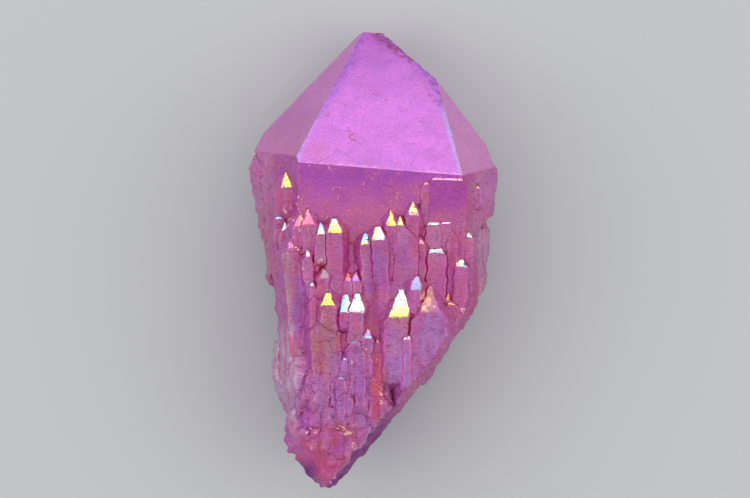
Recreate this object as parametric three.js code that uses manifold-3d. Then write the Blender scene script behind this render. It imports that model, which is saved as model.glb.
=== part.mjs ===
// A candle quartz point: one large crystal with a crust of small parallel crystals, broken off at its root.
// It lies on its back. Millimetres, +Z up, +Y along the crystals' common long axis towards the tip.
import * as THREE from "three";
import { ConvexGeometry } from "three/addons/geometries/ConvexGeometry.js";
import { mergeVertices } from "three/addons/utils/BufferGeometryUtils.js";
import Module from "manifold-3d";

const wasm = await Module();
wasm.setup();

const degrees = THREE.MathUtils.degToRad;
const at = (x, y, z) => new THREE.Vector3(x, y, z);

// Quartz: six prism faces lie parallel to the long axis, six pyramid faces lean in over them.
const PRISM_TURN = degrees(60);
const PYRAMID_LEAN = degrees(38.2);

// The large crystal: its tip, the edges of its front prism face and the breadth at its shoulders
const FRONT_FACE = 24.5;
const BACK_FACE = 1.2;
const LEFT_TIP = at(-2.0, 38.0, 7.2);
const RIGHT_TIP = at(1.2, 38.0, 7.2);
const FRONT_LEFT_CORNER = at(-12.2, 15.4, FRONT_FACE);
const FRONT_RIGHT_CORNER = at(14.0, 13.3, FRONT_FACE);
const LEFT_SHOULDER = at(-19.0, 20.6, 8.4);
const RIGHT_SHOULDER = at(18.7, 18.3, 12.6);
const RIGHT_BEND = at(10.2, 29.5, 12.8);
const LEFT_BEND = at(-12.3, 17.1, 23.2);
const TIP_BREAK = at(0, 37.7, 7.4);
const LEFT_EDGE = -20.0;
const RIGHT_EDGE = 19.6;
const MAIN_FOOT = -12;
const LEFT_FOOT = at(-20.4, 9, 0);
const RIGHT_FOOT = at(19.8, 8, 0);

// The small crystals: how far their tips lean out, how narrow their front pyramid faces are, and their length
const LEAN_OUT = 5;
const SIDE_LEAN_OUT = 2;
const SMALL_TURN = degrees(52);
const SMALL_LENGTH = 20;

// Corners closer than this are one corner, and faces flatter than this to the line of sight stand upright.
const WELD = 1e-5;
const UPRIGHT = 1e-9;

// ---- solids ----

function solidOf(geometry) {
  const bare = geometry.index ? geometry.toNonIndexed() : geometry.clone();
  bare.deleteAttribute("normal");
  bare.deleteAttribute("uv");
  const merged = mergeVertices(bare, WELD);
  return new wasm.Manifold(
    new wasm.Mesh({
      numProp: 3,
      vertProperties: new Float32Array(merged.attributes.position.array),
      triVerts: new Uint32Array(merged.index.array),
    }),
  );
}

function geometryOf(solid) {
  const mesh = solid.getMesh();
  const places = new Float32Array(mesh.numVert * 3);
  for (let i = 0; i < mesh.numVert; i++) {
    const from = i * mesh.numProp;
    places.set(mesh.vertProperties.subarray(from, from + 3), i * 3);
  }
  const geometry = new THREE.BufferGeometry();
  geometry.setAttribute("position", new THREE.BufferAttribute(places, 3));
  geometry.setIndex(new THREE.BufferAttribute(mesh.triVerts, 1));
  return geometry;
}

function join(solids) {
  return solids.reduce((whole, solid) => whole.add(solid));
}

// The corner where three planes meet, or null where they don't.
function corner(a, b, c) {
  const across = new THREE.Vector3().crossVectors(b.normal, c.normal);
  const volume = a.normal.dot(across);
  if (Math.abs(volume) < WELD) {
    return null;
  }
  const point = across.multiplyScalar(-a.constant);
  point.addScaledVector(new THREE.Vector3().crossVectors(c.normal, a.normal), -b.constant);
  point.addScaledVector(new THREE.Vector3().crossVectors(a.normal, b.normal), -c.constant);
  return point.divideScalar(volume);
}

// The convex body behind every one of these faces.
function bodyBehind(faces) {
  const corners = [];
  const isOutside = (point) => faces.some((face) => face.distanceToPoint(point) > WELD);
  const isKnown = (point) => corners.some((known) => known.distanceTo(point) < 10 * WELD);
  for (let i = 0; i < faces.length; i++) {
    for (let j = i + 1; j < faces.length; j++) {
      for (let k = j + 1; k < faces.length; k++) {
        const point = corner(faces[i], faces[j], faces[k]);
        if (point && !isOutside(point) && !isKnown(point)) {
          corners.push(point);
        }
      }
    }
  }
  return solidOf(new ConvexGeometry(corners));
}

function faceThrough(normal, point) {
  return new THREE.Plane().setFromNormalAndCoplanarPoint(normal.clone().normalize(), point);
}

function faceOn(a, b, c) {
  return new THREE.Plane().setFromCoplanarPoints(a, b, c);
}

// The normal of a face turned round the long axis from the front, leaning in over it.
function faceNormal(turn, lean) {
  return at(Math.sin(turn) * Math.cos(lean), Math.sin(lean), Math.cos(turn) * Math.cos(lean));
}

// A number between -1 and 1 that is always the same for the same seed.
function jitter(seed) {
  const wave = Math.sin(seed * 12.9898 + 4.1414) * 43758.5453;
  return 2 * (wave - Math.floor(wave)) - 1;
}

// ---- crystals, each as the list of its faces ----

function largeCrystal() {
  const leftDepth = (FRONT_LEFT_CORNER.x - LEFT_EDGE) * Math.tan(PRISM_TURN);
  const rightDepth = (RIGHT_EDGE - FRONT_RIGHT_CORNER.x) * Math.tan(PRISM_TURN);
  const leftEdge = at(LEFT_EDGE, 0, FRONT_FACE - leftDepth);
  const rightEdge = at(RIGHT_EDGE, 0, FRONT_FACE - rightDepth);
  return [
    faceOn(LEFT_TIP, FRONT_LEFT_CORNER, FRONT_RIGHT_CORNER),
    faceOn(LEFT_TIP, LEFT_SHOULDER, LEFT_BEND),
    faceOn(RIGHT_BEND, FRONT_RIGHT_CORNER, RIGHT_SHOULDER),
    faceThrough(faceNormal(-2 * PRISM_TURN, PYRAMID_LEAN), LEFT_SHOULDER),
    faceOn(RIGHT_TIP, RIGHT_BEND, RIGHT_SHOULDER),
    faceThrough(faceNormal(3 * PRISM_TURN, PYRAMID_LEAN), RIGHT_TIP),
    faceThrough(at(0.06, 1, 0.5), TIP_BREAK),
    faceThrough(faceNormal(0, 0), FRONT_LEFT_CORNER),
    faceThrough(faceNormal(-PRISM_TURN, 0), leftEdge),
    faceThrough(faceNormal(-2 * PRISM_TURN, 0), leftEdge),
    faceThrough(faceNormal(3 * PRISM_TURN, 0), at(0, 0, BACK_FACE)),
    faceThrough(faceNormal(2 * PRISM_TURN, 0), rightEdge),
    faceThrough(faceNormal(PRISM_TURN, 0), rightEdge),
    faceThrough(at(0, -1, 0), at(0, MAIN_FOOT, 0)),
    faceThrough(at(-0.72, -0.69, 0), LEFT_FOOT),
    faceThrough(at(0.72, -0.69, 0), RIGHT_FOOT),
  ];
}

// One small crystal. tip is the middle of its short top ridge, rise the height of its pyramid, and span the
// left and right edges of its outer prism face, from the tip. turn is the way that face looks, round the long
// axis from the front. lean tilts the tip to the left and pitch tilts it out, all in degrees. broken is the
// share of the pyramid that has gone, back how much further than the outer face the inner one lies from the
// tip, and foot the way that the lower end looks.
function crystal({
  tip,
  rise,
  span,
  ridge = 0,
  long = SMALL_LENGTH,
  turn = 0,
  lean = 0,
  pitch = LEAN_OUT,
  broken = 0,
  back = 3,
  foot = at(0.3 * jitter(tip.x), -1, 0.9),
}) {
  const reach = rise * Math.tan(PYRAMID_LEAN);
  const left = at(-ridge / 2, 0, 0);
  const right = at(ridge / 2, 0, 0);
  const [leftEdge, rightEdge] = span;
  const faces = [
    faceThrough(faceNormal(0, PYRAMID_LEAN), left),
    faceThrough(faceNormal(SMALL_TURN, PYRAMID_LEAN), right),
    faceThrough(faceNormal(Math.PI - SMALL_TURN, PYRAMID_LEAN), right),
    faceThrough(faceNormal(Math.PI, PYRAMID_LEAN), left),
    faceThrough(faceNormal(SMALL_TURN - Math.PI, PYRAMID_LEAN), left),
    faceThrough(faceNormal(-SMALL_TURN, PYRAMID_LEAN), left),
    faceThrough(faceNormal(0, 0), at(0, 0, reach)),
    faceThrough(faceNormal(PRISM_TURN, 0), at(rightEdge, 0, reach)),
    faceThrough(faceNormal(2 * PRISM_TURN, 0), at(rightEdge, 0, -reach - back)),
    faceThrough(faceNormal(Math.PI, 0), at(0, 0, -reach - back)),
    faceThrough(faceNormal(-2 * PRISM_TURN, 0), at(leftEdge, 0, -reach - back)),
    faceThrough(faceNormal(-PRISM_TURN, 0), at(leftEdge, 0, reach)),
    faceThrough(foot, at(0, -long, 0)),
  ];
  if (broken) {
    const worn = at(0.15 * jitter(tip.x), 1, 0.25 * jitter(tip.y));
    faces.push(faceThrough(worn, at(0, -broken * rise, 0)));
  }
  const place = new THREE.Matrix4().makeTranslation(tip);
  place.multiply(new THREE.Matrix4().makeRotationZ(degrees(lean)));
  place.multiply(new THREE.Matrix4().makeRotationY(degrees(turn)));
  place.multiply(new THREE.Matrix4().makeRotationX(degrees(pitch)));
  return faces.map((face) => face.applyMatrix4(place));
}

// How high the trunk and these bodies stand at a place seen from above.
function heightAt(bodies, x, y) {
  let height = trunkHeight(x, y);
  for (const faces of bodies) {
    let top = Infinity;
    let under = -Infinity;
    for (const { normal, constant } of faces) {
      const rest = -constant - normal.x * x - normal.y * y;
      if (normal.z > UPRIGHT) {
        top = Math.min(top, rest / normal.z);
      } else if (normal.z < -UPRIGHT) {
        under = Math.max(under, rest / normal.z);
      } else if (rest < 0) {
        top = -Infinity;
      }
    }
    if (top > under) {
      height = Math.max(height, top);
    }
  }
  return height;
}

// ---- the trunk: outlines across the long axis, as y, left, right, back and front ----

const trunkOutlines = [
  [11, -17.4, 17.2, 2.0, 23.4],
  [4, -18.0, 17.6, 1.5, 23.4],
  [0, -16.0, 17.8, 1.3, 24.4],
  [-3, -15.6, 17.8, 1.3, 25.2],
  [-6, -15.0, 16.6, 1.4, 25.9],
  [-9, -14.6, 14.8, 1.7, 26.3],
  [-12, -14.4, 13.0, 2.0, 26.5],
  [-15, -15.2, 10.8, 2.4, 26.3],
  [-18, -16.2, 8.8, 2.9, 26.3],
  [-21, -15.0, 6.2, 3.4, 25.9],
  [-24, -13.9, 4.8, 4.0, 25.2],
  [-27, -14.6, 2.6, 4.8, 24.3],
  [-29.5, -14.6, 0.4, 5.6, 23.1],
  [-32, -12.8, -1.8, 6.6, 21.6],
  [-34.5, -11.4, -3.6, 7.8, 20.2],
  [-36.4, -9.8, -5.0, 9.4, 18.6],
  [-37.6, -8.6, -6.0, 11.4, 16.8],
];
const TRUNK_POINTS = 24;
const TRUNK_ROUNDNESS = 0.72;

// How far the trunk's corners stray: little under the crust, more towards the broken root
const ROUGH_BELOW = -12;
const CRUST_ROUGHNESS = 0.25;
const ROOT_ROUGHNESS = 0.45;

function trunkRing([y, left, right, back, front], row) {
  const rough = y > ROUGH_BELOW ? CRUST_ROUGHNESS : ROOT_ROUGHNESS;
  const bulge = (value) => Math.sign(value) * Math.abs(value) ** TRUNK_ROUNDNESS;
  const ring = [];
  for (let i = 0; i < TRUNK_POINTS; i++) {
    const turn = (2 * Math.PI * i) / TRUNK_POINTS;
    const seed = row * TRUNK_POINTS + i;
    const across = (left + right) / 2 + ((right - left) / 2) * bulge(Math.sin(turn));
    const up = (back + front) / 2 + ((front - back) / 2) * bulge(Math.cos(turn));
    const shake = at(jitter(seed), jitter(seed + 0.3), jitter(seed + 0.6)).multiplyScalar(rough);
    ring.push(at(across, y, up).add(shake));
  }
  return ring;
}

function middleOf(ring) {
  return ring.reduce((sum, point) => sum.add(point), at(0, 0, 0)).divideScalar(ring.length);
}

function trunk() {
  const rings = trunkOutlines.map(trunkRing);
  const corners = [];
  const triangle = (a, b, c) => corners.push(...a, ...b, ...c);
  const top = middleOf(rings[0]);
  const foot = middleOf(rings.at(-1));
  for (let i = 0; i < TRUNK_POINTS; i++) {
    const next = (i + 1) % TRUNK_POINTS;
    triangle(rings[0][i], rings[0][next], top);
    triangle(rings.at(-1)[next], rings.at(-1)[i], foot);
    for (let row = 1; row < rings.length; row++) {
      triangle(rings[row - 1][i], rings[row][i], rings[row][next]);
      triangle(rings[row - 1][i], rings[row][next], rings[row - 1][next]);
    }
  }
  const geometry = new THREE.BufferGeometry();
  geometry.setAttribute("position", new THREE.Float32BufferAttribute(corners, 3));
  return solidOf(geometry);
}

function trunkHeight(x, y) {
  const next = trunkOutlines.findIndex((outline) => outline[0] <= y);
  if (next < 1) {
    return 0;
  }
  const above = trunkOutlines[next - 1];
  const below = trunkOutlines[next];
  const share = (above[0] - y) / (above[0] - below[0]);
  const [left, right, back, front] = [1, 2, 3, 4].map((k) => THREE.MathUtils.lerp(above[k], below[k], share));
  const aside = Math.abs(2 * x - left - right) / (right - left);
  if (aside >= 1) {
    return 0;
  }
  const bulge = (1 - aside ** (2 / TRUNK_ROUNDNESS)) ** (TRUNK_ROUNDNESS / 2);
  return (back + front) / 2 + ((front - back) / 2) * bulge;
}

// ---- the front, from the tip down: each crystal starts with its tip on the face of those above it, or proud
// of it, and from and to are the left and right edges of its outer face ----

const frontCrystals = [
  // the small ones at the upper left
  { x: -14.3, y: 14.2, rise: 2.6, from: -16.2, to: -13.4, long: 16, lean: 2 },
  { x: -12.0, y: 7.7, rise: 2.4, from: -13.1, to: -11.6, lean: 3 },
  { x: -10.7, y: 8.1, rise: 2.6, from: -11.8, to: -9.5, lean: 3, long: 15 },
  { x: -8.6, y: 6.1, rise: 2.1, from: -9.6, to: -7.9, lean: 1, proud: 0.7, long: 8 },
  { x: -6.5, y: 7.5, rise: 3.2, from: -7.7, to: -5.3, lean: 1, broken: 0.27, long: 17 },
  // the pairs in the middle
  { x: -1.6, y: 4.9, rise: 2.5, from: -2.7, to: -1.0, lean: 5, broken: 0.28, long: 16 },
  { x: 0.4, y: 6.1, rise: 3.0, from: -0.6, to: 1.7, lean: 3, broken: 0.28 },
  { x: 2.5, y: 7.9, rise: 2.5, from: 1.8, to: 4.4 },
  { x: 4.0, y: 6.8, rise: 1.4, from: 3.0, to: 6.7, proud: 0.9 },
  { x: 6.1, y: 9.3, rise: 2.3, from: 5.0, to: 7.0, lean: -1 },
  { x: 7.35, y: 3.7, rise: 1.3, from: 6.9, to: 8.0, long: 8 },
  // growth steps at the right
  { x: 11.6, y: 12.9, rise: 0.4, ridge: 4.6, from: 8.8, to: 14.7, lean: -2, pitch: 0, long: 26 },
  { x: 8.3, y: 12.2, rise: 0.35, ridge: 0.7, from: 7.4, to: 9.2, pitch: 0, long: 22 },
  { x: 9.4, y: 5.8, rise: 0.4, ridge: 1.9, from: 8.1, to: 10.6, pitch: 1, long: 18 },
  { x: 11.4, y: 5.9, rise: 0.3, ridge: 1.4, from: 10.5, to: 12.3, pitch: 1, long: 18 },
  { x: 12.4, y: 4.6, rise: 0.6, from: 11.6, to: 13.2, pitch: 2, long: 16 },
  { x: 14.8, y: 4.2, rise: 0.8, ridge: 0.8, from: 14.0, to: 15.7, lean: -3, pitch: 1, long: 14 },
  { x: 9.7, y: 1.6, rise: 0.75, ridge: 1.8, from: 8.4, to: 11.2, pitch: 1, long: 14 },
  { x: 13.8, y: -0.1, rise: 1.1, ridge: 0.9, from: 12.9, to: 14.9, lean: -4, pitch: 1, long: 16 },
  // the left flank's upper crystals
  { x: -15.5, y: 6.8, rise: 0.4, ridge: 0.8, from: -16.2, to: -14.6, long: 9, lean: 3 },
  { x: -14.4, y: 6.1, rise: 1.5, from: -15.4, to: -13.7, long: 8, lean: 3 },
  { x: -13.3, y: 4.1, rise: 2.3, from: -15.0, to: -12.2, lean: 5, long: 21, proud: -0.9, pitch: 6 },
  { x: -10.8, y: 1.7, rise: 1.3, from: -11.9, to: -10.4, lean: 8, long: 9, proud: -0.2 },
  // the second row
  { x: -7.9, y: -0.9, rise: 2.1, from: -8.9, to: -7.3, lean: -3, broken: 0.25, long: 8, proud: -0.3 },
  { x: -4.2, y: -2.0, rise: 1.5, from: -5.0, to: -3.6, long: 8, proud: 0.3 },
  { x: -3.0, y: -1.7, rise: 1.7, from: -3.6, to: -2.2, long: 8, proud: 0.3 },
  { x: -10.0, y: -3.3, rise: 1.0, from: -10.6, to: -9.2, lean: 2, long: 14, proud: -0.3 },
  { x: -9.8, y: -5.8, rise: 0.7, from: -10.3, to: -9.2, long: 8 },
  { x: 6.8, y: -1.9, rise: 2.9, from: 5.9, to: 7.5, lean: -5, broken: 0.28, long: 12 },
  // the third row, the largest
  { x: -7.4, y: -4.0, rise: 3.1, from: -8.6, to: -6.2, long: 8, proud: -0.9, foot: at(-0.7, -1, 0.5) },
  { x: -4.6, y: -4.9, rise: 3.3, from: -5.6, to: -3.1, long: 8, pitch: 8, proud: -0.4 },
  { x: -2.8, y: -4.6, rise: 3.5, from: -4.1, to: -1.8, long: 13, pitch: 8, proud: -0.5 },
  { x: 4.1, y: -4.2, rise: 4.6, ridge: 0.3, from: 1.4, to: 5.1, pitch: 8, proud: -0.2, long: 18 },
  { x: 8.9, y: -3.8, rise: 4.3, from: 6.0, to: 11.6, lean: -2, pitch: 8, long: 20, proud: -0.3 },
  { x: 11.8, y: -5.4, rise: 1.1, from: 11.2, to: 12.4, lean: -6, long: 10 },
  { x: 12.2, y: -6.9, rise: 0.3, ridge: 0.9, from: 11.6, to: 13.2, lean: -8, long: 10 },
  // the broad faces towards the root
  { x: -8.2, y: -9.6, rise: 0.8, ridge: 1.6, from: -10.2, to: -5.6, lean: 2, pitch: 8, long: 14, proud: -0.9 },
  { x: -1.3, y: -10.2, rise: 2.2, from: -2.2, to: -0.5, long: 10, proud: -0.8, pitch: 7 },
  { x: 0.4, y: -12.5, rise: 0.8, from: -0.8, to: 1.1, long: 14, pitch: 7, proud: -0.1 },
  { x: 5.0, y: -11.0, rise: 1.6, from: 4.5, to: 5.6, long: 11, proud: -0.9, pitch: 8 },
  { x: -3.3, y: -12.6, rise: 0.6, ridge: 0.6, from: -4.6, to: -2.6, lean: 6, long: 10, proud: -0.3, pitch: 8 },
  { x: -2.3, y: -13.6, rise: 1.0, from: -3.1, to: -1.6, long: 11, proud: -0.5, pitch: 8 },
  { x: -4.3, y: -15.7, rise: 0.4, ridge: 1.3, from: -5.2, to: -3.2, lean: -6, long: 10, proud: -0.3, pitch: 8 },
  { x: -5.3, y: -18.0, rise: 1.0, from: -6.1, to: -4.8, long: 9, proud: -0.5, pitch: 9 },
  { x: 1.2, y: -21.2, rise: 0.7, from: 0.7, to: 1.8, long: 6, pitch: 12 },
];

// Low steps on the broad faces towards the root, closer together the nearer they are to the break.
const ROOT_STEPS = 24;
const ROOT_TOP = -16;
const ROOT_LENGTH = 12;
const ROOT_END = -33;
const ROOT_SINK = 2.5;

function rootStep(i) {
  const y = ROOT_TOP - (ROOT_LENGTH * i) / ROOT_STEPS + jitter(i);
  const left = -12.5 + 0.1 * (y + 14);
  const right = 8.5 + 0.66 * (y + 14);
  const x = left + (right - left) * (0.5 + 0.5 * jitter(i + 0.37));
  const half = 1.1 + 0.5 * jitter(i + 0.61);
  const tip = at(x, y, trunkHeight(x, y) + 0.15 + 0.25 * jitter(i + 0.29));
  const rise = 0.45 + 0.2 * jitter(i + 0.83);
  const long = Math.min(6 + 2 * jitter(i + 0.47), y - ROOT_END);
  const fall = trunkHeight(x, y) - trunkHeight(x, y - long);
  const pitch = THREE.MathUtils.radToDeg(Math.atan2(fall, long)) + ROOT_SINK;
  const lean = 5 * jitter(i + 0.19);
  return { tip, rise, ridge: half, span: [-half, half], lean, pitch, long, broken: 0.85 };
}

// ---- the sides ----

const sideCrystals = [
  // left
  { tip: at(-19.4, 18.2, 10.8), turn: -60, rise: 2.5, wide: 2.6, long: 16, lean: 10 },
  { tip: at(-17.4, 11.6, 15.6), turn: -60, rise: 1.2, wide: 1.0, long: 12, lean: 6 },
  { tip: at(-18.4, 8.2, 12.6), turn: -60, rise: 2.3, wide: 2.2, long: 9, lean: 20 },
  { tip: at(-15.4, 3.6, 16.2), turn: -60, rise: 2.0, wide: 2.2, long: 14, lean: 4 },
  { tip: at(-14.4, 1.0, 11.0), turn: -60, rise: 2.0, wide: 2.4, long: 13, lean: 0 },
  { tip: at(-14.4, -1.6, 18.6), turn: -60, rise: 1.6, wide: 1.7, long: 22, lean: 5 },
  { tip: at(-13.2, -5.0, 14.6), turn: -60, rise: 1.6, wide: 1.6, long: 18, lean: 4 },
  { tip: at(-13.7, -8.5, 18.0), turn: -60, rise: 1.6, wide: 1.2, long: 17, lean: 9 },
  { tip: at(-14.5, -11.6, 12.6), turn: -60, rise: 2.4, wide: 1.4, long: 11, lean: -6, foot: at(0, -1, 1.6) },
  { tip: at(-14.6, -15.4, 9.6), turn: -120, rise: 1.8, wide: 1.8, long: 10, lean: 6 },
  { tip: at(-16.6, 13.0, 6.6), turn: -120, rise: 2.4, wide: 2.4, long: 16, lean: 3 },
  { tip: at(-14.4, 4.6, 5.4), turn: -120, rise: 2.2, wide: 2.6, long: 15, lean: -3 },
  { tip: at(-13.0, -4.2, 5.6), turn: -120, rise: 2.2, wide: 2.2, long: 15, lean: 4 },
  { tip: at(-12.8, -12.0, 6.2), turn: -120, rise: 2.0, wide: 2.4, long: 13, lean: 4 },
  // right
  { tip: at(18.2, 17.0, 12.8), turn: 60, rise: 2.3, wide: 1.8, long: 8, lean: 2, foot: at(0, -1, 1.4) },
  { tip: at(16.5, 12.2, 20.0), turn: 60, rise: 0.8, wide: 0.8, long: 4, lean: 8 },
  { tip: at(17.0, 7.2, 14.2), turn: 60, rise: 2.2, wide: 2.2, long: 14, lean: -2 },
  { tip: at(16.0, 4.2, 18.4), turn: 60, rise: 1.7, wide: 1.8, long: 14, lean: -5 },
  { tip: at(16.4, 1.0, 11.0), turn: 60, rise: 2.2, wide: 2.2, long: 12, lean: -8 },
  { tip: at(14.6, -3.2, 18.0), turn: 60, rise: 1.8, wide: 2.0, long: 14, lean: -14 },
  { tip: at(14.0, -6.2, 13.4), turn: 60, rise: 2.2, wide: 2.4, long: 14, lean: -20 },
  { tip: at(15.8, 12.0, 6.8), turn: 120, rise: 2.4, wide: 2.6, long: 14, lean: -3 },
  { tip: at(15.0, 4.0, 5.6), turn: 120, rise: 2.2, wide: 2.4, long: 13, lean: -6 },
  { tip: at(12.6, -3.6, 5.6), turn: 120, rise: 2.2, wide: 2.2, long: 12, lean: -14 },
  { tip: at(9.0, -10.4, 6.4), turn: 120, rise: 2.0, wide: 2.2, long: 10, lean: -20 },
];

// ---- the back: broad low crystals whose outer faces are level, so that the piece lies still ----

const backCrystals = [
  { x: -6.4, y: 15.2, rise: 1.7, ridge: 1.4, wide: 4.6, long: 15 },
  { x: -0.6, y: 11.4, rise: 2.0, ridge: 1.6, wide: 5.0, long: 17 },
  { x: 5.4, y: 14.0, rise: 1.5, ridge: 1.2, wide: 3.8, long: 14 },
  { x: 10.0, y: 8.8, rise: 1.6, ridge: 0.8, wide: 3.4, long: 16 },
  { x: -11.0, y: 8.6, rise: 1.5, ridge: 0.8, wide: 3.0, long: 17 },
  { x: -8.0, y: 1.4, rise: 1.9, ridge: 0.4, wide: 3.2, long: 16 },
  { x: -4.2, y: -0.8, rise: 1.6, ridge: 0.3, wide: 2.4, long: 17 },
  { x: 3.6, y: 1.0, rise: 2.0, ridge: 0.4, wide: 3.2, long: 15 },
  { x: 7.2, y: -2.6, rise: 1.7, ridge: 0.2, wide: 2.6, long: 11 },
  { x: -0.4, y: -6.0, rise: 1.8, ridge: 0.2, wide: 2.6, long: 13 },
  { x: -10.4, y: -5.4, rise: 1.6, ridge: 0.2, wide: 2.4, long: 11 },
];

// ---- breaks: blocks and lumps taken off ----

const BLOCK_SIZE = 60;
const LUMP_ROUGHNESS = 0.18;

// A block standing on the outside of a flat break through a point.
function breakOff(normal, point) {
  const block = new THREE.BoxGeometry(BLOCK_SIZE, BLOCK_SIZE, BLOCK_SIZE).translate(0, 0, BLOCK_SIZE / 2);
  const turn = new THREE.Quaternion().setFromUnitVectors(at(0, 0, 1), normal.clone().normalize());
  return solidOf(block.applyQuaternion(turn).translate(...point));
}

// A rough ball, half as wide each way as size says.
function lump(middle, size, seed) {
  const ball = new THREE.IcosahedronGeometry(1, 1);
  ball.deleteAttribute("uv");
  ball.deleteAttribute("normal");
  const geometry = mergeVertices(ball);
  const places = geometry.attributes.position;
  const place = at(0, 0, 0);
  for (let i = 0; i < places.count; i++) {
    place.fromBufferAttribute(places, i);
    place.multiplyScalar(1 + LUMP_ROUGHNESS * jitter(seed + 0.7 * i));
    place.multiply(size).add(middle);
    places.setXYZ(i, ...place);
  }
  return solidOf(geometry);
}

const breaks = [
  // the slanting right flank
  breakOff(at(0.8, -0.52, 0.12), at(17.4, -6.6, 13)),
  breakOff(at(0.77, -0.6, 0.14), at(12.0, -15.6, 13)),
  breakOff(at(0.75, -0.62, 0.12), at(6.6, -23.0, 13)),
  breakOff(at(0.73, -0.66, 0.16), at(-1.2, -31.2, 13)),
  lump(at(18.3, -13.0, 17.6), at(5, 5.4, 5.6), 1),
  lump(at(15.2, -19.4, 9.4), at(6, 6.4, 6), 2),
  lump(at(10.9, -23.2, 18.4), at(4.6, 4.6, 5), 3),
  lump(at(7.0, -28.8, 11.6), at(5, 5, 5), 4),
  lump(at(3.2, -31.6, 19.4), at(4, 4, 4), 5),
  // the root
  lump(at(-5.0, -41.2, 18.4), at(5, 4.4, 4.4), 6),
  lump(at(-12.2, -39.6, 14.6), at(4.4, 4.6, 5), 7),
  lump(at(-18.1, -25.4, 16.6), at(3.6, 3.6, 4.6), 8),
  lump(at(-15.4, -35.6, 20.2), at(2.8, 3.4, 4.0), 14),
  lump(at(-9.4, -37.2, 3.6), at(6, 6, 5), 9),
  lump(at(-3.4, -27.0, 0.2), at(6, 7, 4.6), 10),
  // chips
  lump(at(5.4, 36.2, 10.4), at(1.6, 2.2, 1.3), 11),
  lump(at(8.0, 32.8, 13.4), at(1.2, 1.8, 0.8), 12),
  lump(at(-19.9, 14.6, 16.0), at(1.0, 2.6, 1.4), 13),
];

// ---- together ----

const faceLists = [largeCrystal()];
for (const { x, y, from, to, proud = 0, ...rest } of frontCrystals) {
  const tip = at(x, y, heightAt(faceLists, x, y) + proud);
  faceLists.push(crystal({ tip, span: [from - x, to - x], ...rest }));
}
for (let i = 0; i < ROOT_STEPS; i++) {
  faceLists.push(crystal(rootStep(i)));
}
for (const { wide, ...rest } of sideCrystals) {
  faceLists.push(crystal({ span: [-wide / 2, wide / 2], pitch: SIDE_LEAN_OUT, ...rest }));
}
for (const { x, y, wide, ...rest } of backCrystals) {
  const tip = at(x, y, rest.rise * Math.tan(PYRAMID_LEAN));
  faceLists.push(crystal({ tip, span: [-wide / 2, wide / 2], turn: 180, pitch: 0, ...rest }));
}

const grown = join([trunk(), ...faceLists.map(bodyBehind)]);
const broken = breaks.reduce((rest, part) => rest.subtract(part), grown);

const quartz = new THREE.MeshStandardMaterial({ color: 0xb0509c, roughness: 0.3, metalness: 0.5 });
const geometry = geometryOf(broken);
geometry.computeBoundingBox();
const middle = geometry.boundingBox.getCenter(at(0, 0, 0));
geometry.translate(-middle.x, -middle.y, -geometry.boundingBox.min.z);
const mesh = new THREE.Mesh(geometry, quartz);
mesh.name = "quartz_crystal";

const group = new THREE.Group();
group.add(mesh);
export default group;
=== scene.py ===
import math

import bmesh
import bpy
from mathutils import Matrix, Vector, noise
from mathutils.bvhtree import BVHTree


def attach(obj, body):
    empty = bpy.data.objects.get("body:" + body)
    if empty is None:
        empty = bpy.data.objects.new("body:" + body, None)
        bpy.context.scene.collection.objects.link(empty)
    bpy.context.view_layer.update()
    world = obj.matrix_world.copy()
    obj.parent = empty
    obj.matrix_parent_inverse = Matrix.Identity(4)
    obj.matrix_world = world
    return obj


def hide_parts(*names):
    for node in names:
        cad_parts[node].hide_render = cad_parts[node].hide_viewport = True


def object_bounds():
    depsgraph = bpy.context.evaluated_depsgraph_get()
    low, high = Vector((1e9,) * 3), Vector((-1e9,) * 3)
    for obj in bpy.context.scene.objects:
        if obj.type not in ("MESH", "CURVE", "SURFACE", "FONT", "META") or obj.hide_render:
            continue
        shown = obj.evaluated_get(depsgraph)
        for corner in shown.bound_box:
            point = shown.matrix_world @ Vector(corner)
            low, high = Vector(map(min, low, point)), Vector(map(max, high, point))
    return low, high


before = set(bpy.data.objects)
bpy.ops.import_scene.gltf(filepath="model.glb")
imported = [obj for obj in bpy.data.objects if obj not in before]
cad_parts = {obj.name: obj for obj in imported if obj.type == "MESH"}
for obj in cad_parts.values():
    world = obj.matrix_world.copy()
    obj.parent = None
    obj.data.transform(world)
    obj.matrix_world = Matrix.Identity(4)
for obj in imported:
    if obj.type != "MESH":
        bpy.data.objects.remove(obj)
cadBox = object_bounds()
mm = 0.001


def linear(hexColour):
    values = [int(hexColour[i:i + 2], 16) / 255 for i in (1, 3, 5)]
    return [v / 12.92 if v <= 0.04045 else ((v + 0.055) / 1.055) ** 2.4 for v in values] + [1]


def addNode(tree, kind, settings=None, links=None):
    node = tree.nodes.new("ShaderNode" + kind)
    for name, value in (settings or {}).items():
        if isinstance(name, int) or name in node.inputs:
            node.inputs[name].default_value = value
        else:
            setattr(node, name, value)
    for name, source in (links or {}).items():
        tree.links.new(source, node.inputs[name])
    return node


def newMaterial(name):
    material = bpy.data.materials.new(name)
    material.use_nodes = True
    material.node_tree.nodes.clear()
    return material, material.node_tree


def scaleFor(size):
    return 1 / (size * mm)   # the noise scale whose grains are this many mm large


def smoothStep(low, high, value):
    share = min(1, max(0, (value - low) / (high - low)))
    return share * share * (3 - 2 * share)


def wave(p, fineness, shift=(0, 0, 0)):
    # smooth noise from about -1 to 1; fineness is in grains a mm, for all axes or for each
    if isinstance(fineness, tuple):
        p = Vector([a * b for a, b in zip(p, fineness)])
    else:
        p = p * fineness
    return noise.noise(p + Vector(shift))


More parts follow.
